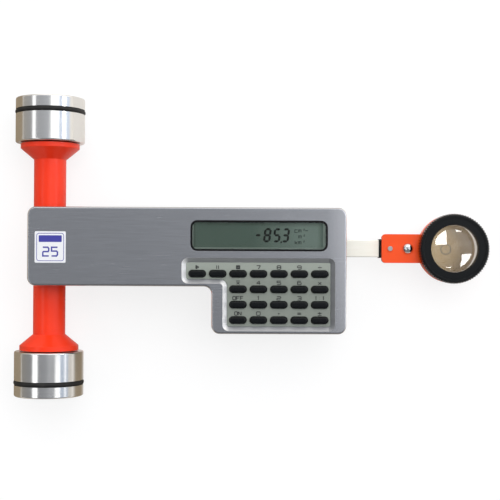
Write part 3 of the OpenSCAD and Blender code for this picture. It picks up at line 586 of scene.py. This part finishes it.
# Keys: moulded in gloss black plastic, with soft edges and a shine that fingers have worn uneven.
gloss = Paint(bpy.data.materials.new("gloss_black_keys"))
place = spot_mm(gloss)
touch = grain(gloss, place, 1.4, detail=3)
cover_with(gloss, {
    "Base Color": gloss.mix(touch, (0.002, 0.003, 0.004, 1), (0.006, 0.007, 0.008, 1)),
    "Roughness": 0.12 + 0.1 * touch,
    "Specular IOR Level": 0.2,
    "Normal": relief(gloss, grain(gloss, place, 0.5), 0.003, 0.9),
})
keys = [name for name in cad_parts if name.startswith("key_") and name[4].isdigit()]
dress(gloss, *keys)

# Key mat: one sheet of pale silicone rubber with a dome under each key.
silicone = Paint(bpy.data.materials.new("pale_silicone"))
place = spot_mm(silicone)
cover_with(silicone, {
    "Base Color": silicone.mix(grain(silicone, place, 3), (0.55, 0.55, 0.53, 1), (0.64, 0.64, 0.62, 1)),
    "Roughness": 0.6 + 0.1 * grain(silicone, place, 0.6),
})
dress(silicone, "key_mat")

# Display frame, arm collar, charger jack and light sensor: moulded in gloss black plastic.
jet = Paint(bpy.data.materials.new("jet_plastic"))
place = spot_mm(jet)
cover_with(jet, {
    "Base Color": jet.mix(grain(jet, place, 1), (0.001, 0.002, 0.003, 1), (0.005, 0.005, 0.006, 1)),
    "Roughness": 0.2 + 0.1 * grain(jet, place, 2),
    "IOR": 1.33,
    "Normal": relief(jet, grain(jet, place, 0.6), 0.002, 0.12),
})
dress(jet, "lcd_bezel", "arm_collar", "charger_jack", "light_sensor")

# Display: a liquid crystal cell on a grey-green mirror film, darker in the frame's shadow and
# paler at the right end. A painted highlight of the window's edge lies along three sides, inside
# a black mask. The digits are slanted bars of the usual kind.
CELL_TOP = 37.75
LCD_LEFT = -31.375
LCD_RIGHT = 38.225
film = Paint(bpy.data.materials.new("display_film"))
place = spot_mm(film)
x, y, z = axes(film, place)
weave = grain(film, place, 0.3, detail=3)
right_end = (x / 26).limited() * ((LCD_RIGHT - 2.2 - x) / 3).limited()
shade = ((y - 10.2) / 2.6).limited() + ((LCD_LEFT + 3 - x) / 2).limited()
tone = film.mix(weave, (0.068, 0.110, 0.090, 1), (0.092, 0.140, 0.116, 1))
tone = film.mix(right_end * 0.9, tone, (0.195, 0.26, 0.235, 1))
tone = film.mix(shade.limited() * 0.6, tone, (0.02, 0.032, 0.026, 1))
# Painted highlight: a pale band on the film along the left, front and right, for the window edge's
# gleam.
painted_edge_highlight = (x < LCD_LEFT + 1.6) + (x > LCD_RIGHT - 2.4) + (y < -0.05)
tone = film.mix(painted_edge_highlight.limited() * 0.55, tone, (0.32, 0.38, 0.35, 1))
mask = (x < LCD_LEFT + 0.5) + (x > LCD_RIGHT - 1.1) + (y < -0.75) + (y > 13.1)
tone = film.mix(mask.limited(), tone, (0.003, 0.004, 0.004, 1))
cover_with(film, {
    "Base Color": tone,
    "Roughness": 0.35 + 0.1 * weave,
    "Specular IOR Level": 0.1,
})
dress(film, "lcd_module")

segment = Paint(bpy.data.materials.new("display_segments"))
place = spot_mm(segment)
speck = grain(segment, place, 0.3)
cover_with(segment, {
    "Base Color": segment.mix(speck, (0.001, 0.002, 0.002, 1), (0.005, 0.007, 0.006, 1)),
    "Roughness": 0.4 + 0.05 * grain(segment, place, 1),
    "Specular IOR Level": 0,
})
BAR = 1.12
DIGIT_W = 2.6
DIGIT_H = 6.1
LEAN = 0.13
DIGIT_Y = 6.15
BARS = {"8": "abcdefg", "5": "afgcd", "3": "abgcd", "-": "g"}


def bar_shape(name):
    """The six corners of one bar of a digit, round the digit's middle."""
    w = DIGIT_W / 2
    h = DIGIT_H / 2
    t = BAR / 2
    gap = 0.06
    ends = {
        "a": ((-w, h), (w, h)), "d": ((-w, -h), (w, -h)), "g": ((-w, 0), (w, 0)),
        "b": ((w, 0), (w, h)), "c": ((w, -h), (w, 0)), "f": ((-w, 0), (-w, h)), "e": ((-w, -h), (-w, 0)),
    }[name]
    (ax, ay), (bx, by) = ends
    if ay == by:
        line = [(ax + gap, ay), (ax + gap + t, ay - t), (bx - gap - t, by - t), (bx - gap, by),
                (bx - gap - t, by + t), (ax + gap + t, ay + t)]
    else:
        line = [(ax, ay + gap), (ax + t, ay + gap + t), (bx + t, by - gap - t), (bx, by - gap),
                (bx - t, by - gap - t), (ax - t, ay + gap + t)]
    return [(px + LEAN * py, py) for px, py in line]


digits = Print("display_digits", CELL_TOP, thick=0.02)
for sign, middle in (("-", 2.95), ("8", 7.6), ("5", 12.5), ("3", 16.9)):
    for bar in BARS[sign]:
        digits.patch([(px + middle, py + DIGIT_Y) for px, py in bar_shape(bar)])
digits.patch([(14.2, 2.2), (15.0, 2.2), (15.1, 3.1), (14.3, 3.1)])
for sign, middle, low in (("cm", 23.1, 8.3), ("m", 24.1, 5.3), ("km", 23.1, 2.3)):
    digits.letters(sign, middle, low, width=1.4, height=1.3, pen=0.3, gap=0.4)
    digits.letters("2", middle + 1.3 + 0.9 * len(sign), low + 0.8, width=0.55, height=0.85, pen=0.18)
digits.line([(26.6, 8.5), (28.2, 8.5)], pen=0.3)
digits.done(segment, "housing")

# Window: a clear acrylic plate over the cell, with faint wipe marks.
window = Paint(bpy.data.materials.new("clear_window"))
place = spot_mm(window)
cover_with(window, {
    "Base Color": (0.95, 0.97, 0.95, 1),
    "Roughness": 0.02 + 0.03 * grain(window, place, 8, detail=4),
    "IOR": 1.27,
    "Transmission Weight": 1,
})
dress(window, "lcd_window")

# Label: a small paper label stuck on the cover, with a plain frame, a band and a number
# printed in blue.
LABEL_LEFT = -109.87
LABEL_RIGHT = -94.23
LABEL_FRONT = -8.26
LABEL_BACK = 7.6
COVER_TOP = 39.0
PAPER_THICK = 0.08
stock = Paint(bpy.data.materials.new("label_paper"))
place = spot_mm(stock)
fibre = grain(stock, place, 0.25, detail=4)
cover_with(stock, {
    "Base Color": stock.mix(fibre, (0.76, 0.77, 0.80, 1), (0.84, 0.85, 0.87, 1)),
    "Roughness": 0.5 + 0.15 * fibre,
    "Normal": relief(stock, fibre, 0.004),
})


def rounded_box(left, right, front, back, radius, steps=6):
    """The corners of a rectangle with round corners, counter-clockwise."""
    spots = []
    for cx, cy, turn in ((right - radius, front + radius, -90), (right - radius, back - radius, 0),
                         (left + radius, back - radius, 90), (left + radius, front + radius, 180)):
        for i in range(steps + 1):
            angle = math.radians(turn + 90 * i / steps)
            spots.append((cx + radius * math.cos(angle), cy + radius * math.sin(angle)))
    return spots


label = Print("number_label", COVER_TOP, PAPER_THICK)
label.patch(rounded_box(LABEL_LEFT, LABEL_RIGHT, LABEL_FRONT, LABEL_BACK, 0.6))
label.done(stock, "housing")
blue = Paint(bpy.data.materials.new("blue_ink"))
place = spot_mm(blue)
cover_with(blue, {
    "Base Color": blue.mix(grain(blue, place, 0.3), (0.035, 0.035, 0.28, 1), (0.06, 0.06, 0.36, 1)),
    "Roughness": 0.45 + 0.1 * grain(blue, place, 0.6),
})
print_on = Print("number_label_print", COVER_TOP + PAPER_THICK, thick=0.015)
frame_line = rounded_box(LABEL_LEFT + 1, LABEL_RIGHT - 1, LABEL_FRONT + 1, LABEL_BACK - 1, 1.2)
print_on.line(frame_line + frame_line[:1], pen=0.3)
band = rounded_box(LABEL_LEFT + 2, LABEL_RIGHT - 2, LABEL_BACK - 5.4, LABEL_BACK - 2, 0.4)
print_on.patch(band)
middle = (LABEL_LEFT + LABEL_RIGHT) / 2
print_on.letters("25", middle, LABEL_FRONT + 5.6, width=3.0, height=4.4, pen=0.75, gap=1.4)
print_on.done(blue, "housing")

# Circuit board: green solder mask over copper tracks that run at right angles.
board = Paint(bpy.data.materials.new("solder_mask"))
place = spot_mm(board)
tracks = board.node("ShaderNodeTexBrick", {"offset": 0.5}, {
    "Vector": place, "Scale": 0.35, "Mortar Size": 0.06,
    "Color1": (0, 0, 0, 1), "Color2": (0, 0, 0, 1), "Mortar": (1, 1, 1, 1)}, "Fac")
cover_with(board, {
    "Base Color": board.mix(tracks, (0.012, 0.085, 0.035, 1), (0.04, 0.20, 0.08, 1)),
    "Roughness": 0.32 + 0.12 * grain(board, place, 2),
    "Normal": relief(board, tracks, 0.03),
})
dress(board, "circuit_board")

# Battery pack: two cells shrink-wrapped in blue film, with the film's folds across them.
wrap = Paint(bpy.data.materials.new("shrink_wrap"))
place = spot_mm(wrap)
folds = grain(wrap, place, 0.8, (0.6, 5, 5), 3)
cover_with(wrap, {
    "Base Color": wrap.mix(folds, (0.03, 0.08, 0.26, 1), (0.06, 0.13, 0.38, 1)),
    "Roughness": 0.2 + 0.15 * folds,
    "Normal": relief(wrap, folds, 0.06),
})
dress(wrap, "battery_pack")

# Measuring wheel: turned and hardened steel with a ground rolling edge.
ground = Paint(bpy.data.materials.new("ground_steel"))
place = spot_mm(ground)
lines = grain(ground, place, 0.15, (0.3, 6, 6), 3)
cover_with(ground, {
    "Base Color": ground.mix(lines, (0.58, 0.58, 0.59, 1), (0.74, 0.74, 0.74, 1)),
    "Metallic": 1,
    "Roughness": 0.14 + 0.14 * lines,
    "Normal": relief(ground, lines, 0.002, 0.08),
})
dress(ground, "measuring_wheel")

# Encoder disc: dark film with clear slots, printed round its hub in 90 spokes.
SHAFT_Z = 10.0
SPOKES = 90
SLOT_IN = 3.4
SLOT_OUT = 4.8
disc = Paint(bpy.data.materials.new("encoder_film"))
place = spot_mm(disc)
x, y, z = axes(disc, place)
turns = z.math("ARCTAN2", z - SHAFT_Z, y) * SPOKES
out = reach(z - SHAFT_Z, y)
spokes = (turns.math("SINE", turns) > 0) * (out > SLOT_IN) * (out < SLOT_OUT)
cover_with(disc, {
    "Base Color": disc.mix(spokes, (0.02, 0.02, 0.022, 1), (0.45, 0.43, 0.38, 1)),
    "Roughness": 0.2 + 0.1 * grain(disc, place, 1),
})
dress(disc, "encoder_disc")

# Tracer arm: a flat aluminium bar, enamelled ivory, with faint rub marks where it slides. Its
# edges are painted darker, as painted shade.
ivory = Paint(bpy.data.materials.new("ivory_enamel"))
place = spot_mm(ivory)
rub = grain(ivory, place, 1.2, (14, 1, 1), 3)
tone = ivory.mix(rub, (0.91, 0.88, 0.78, 1), (0.97, 0.95, 0.87, 1))
cover_with(ivory, {
    # Painted shade: the edges are painted a darker grey-beige.
    "Base Color": ivory.mix(edges(ivory, 0.5, 1.4) * 0.5, tone, (0.55, 0.52, 0.44, 1)),
    "Roughness": 0.38 + 0.14 * rub,
    "Normal": relief(ivory, rub, 0.004, 0.2),
})
dress(ivory, "tracer_arm")

# Dome screw: polished and chromed, with a few hairline scratches.
chrome = Paint(bpy.data.materials.new("bright_chrome"))
place = spot_mm(chrome)
scratch = grain(chrome, place, 0.08, (9, 1, 1), 4)
cover_with(chrome, {
    "Base Color": chrome.mix(scratch, (0.66, 0.67, 0.69, 1), (0.76, 0.77, 0.79, 1)),
    "Metallic": 1,
    "Roughness": 0.05 + 0.06 * scratch,
})
dress(chrome, "dome_screw")

# Lens mount and grip ring: turned from black acetal. The straight knurl of the ring is cut in
# the lathe. Their edges and the teeth are painted grey, a painted highlight on the bevels.
LENS_X = 105.825
acetal = Paint(bpy.data.materials.new("black_acetal"))
place = spot_mm(acetal)
x, y, z = axes(acetal, place)
cut = lathe_rings(acetal, reach(x - LENS_X, y), z, 0.3, 2)
tone = acetal.mix(cut, (0.001, 0.002, 0.003, 1), (0.005, 0.006, 0.007, 1))
cover_with(acetal, {
    # Painted highlight: sharp edges and knurl teeth are painted grey.
    "Base Color": acetal.mix(edges(acetal, 0.25, 1.6) * 0.4, tone, (0.20, 0.20, 0.20, 1)),
    "Roughness": 0.16 + 0.12 * cut,
    "IOR": 1.28,
    "Normal": relief(acetal, cut, 0.004, 0.3),
})
dress(acetal, "lens_mount", "grip_ring")

# Barrel: the bright aluminium tube between the lens and the foot, bored and left bright inside.
# The light that the lens throws on its right wall is a faint glow of the metal there.
BORE_R = 13
bored = Paint(bpy.data.materials.new("bored_aluminium"))
place = spot_mm(bored)
x, y, z = axes(bored, place)
steps = bored.node("ShaderNodeCombineXYZ", {}, {2: z / 0.4})
cut = bored.node("ShaderNodeTexNoise", {}, {"Vector": steps, "Scale": 1, "Detail": 3})
out = reach(x - LENS_X, y)
outside = out > BORE_R
lit = ((x - LENS_X) / 9).limited() * (out < BORE_R)
bright = bored.mix(cut, (0.78, 0.78, 0.78, 1), (0.88, 0.88, 0.87, 1))
dull = bored.mix(cut, (0.50, 0.50, 0.51, 1), (0.60, 0.60, 0.60, 1))
thrown = bored.mix(cut, (0.3, 0.3, 0.31, 1), (0.6, 0.6, 0.61, 1))
cover_with(bored, {
    "Base Color": bored.mix(outside, bright, dull),
    "Emission Color": bored.mix(lit, (0, 0, 0, 1), thrown),
    "Emission Strength": 1,
    "Metallic": 0.7 + 0.3 * outside,
    "Roughness": 0.24 + 0.14 * cut,
    "Normal": relief(bored, cut, 0.004, 0.1),
})
dress(bored, "lens_barrel")

# Lens: a plano-convex magnifier ground from glass, with faint wipe marks.
glass = Paint(bpy.data.materials.new("magnifier_glass"))
place = spot_mm(glass)
cover_with(glass, {
    "Base Color": (0.93, 0.90, 0.86, 1),
    "Roughness": 0.012 * grain(glass, place, 5, detail=4),
    "IOR": 1.36,
    "Transmission Weight": 1,
    "Coat Weight": 1,
    "Coat Roughness": 0.0,
    "Coat IOR": 1.85,
})
dress(glass, "magnifier_lens")

# Foot: a clear acrylic disc that slides on the paper. Its brown tint, pale gold at the left and
# darker towards its right, is painted shade and light as seen through the lens.
# The tracer mark is a ring round a point, cut in its underside and inked.
acrylic = Paint(bpy.data.materials.new("smoky_acrylic"))
place = spot_mm(acrylic)
x, y, z = axes(acrylic, place)
# Painted shade and light: the tint runs from pale gold at the left to dark brown at the right.
curve = ((x - LENS_X) ** 2 + y ** 2) / 12
far = (x - LENS_X + curve + 8) / 20
tone = acrylic.mix(far.limited(), (0.72, 0.55, 0.29, 1), (0.16, 0.10, 0.03, 1))
cover_with(acrylic, {
    "Base Color": acrylic.mix(grain(acrylic, place, 9) * 0.3, tone, (0.30, 0.17, 0.03, 1)),
    "Roughness": 0.02 * grain(acrylic, place, 3, detail=4),
    "IOR": 1.49,
    "Transmission Weight": 1,
})
dress(acrylic, "tracer_foot")
MARK_R = 2.2
MARK_PEN = 0.36
DOT_R = 0.3
mark = Print("tracer_mark", 0.05, thick=0.08)


def circle(radius, step):
    """Places on a circle round the lens's axis, every step degrees."""
    return [(LENS_X + radius * math.cos(math.radians(a)), radius * math.sin(math.radians(a)))
            for a in range(0, 360, step)]


round_mark = circle(MARK_R, 8)
mark.line(round_mark + round_mark[:1], MARK_PEN)
mark.patch(circle(DOT_R, 30))
mark.done(ink, "housing")
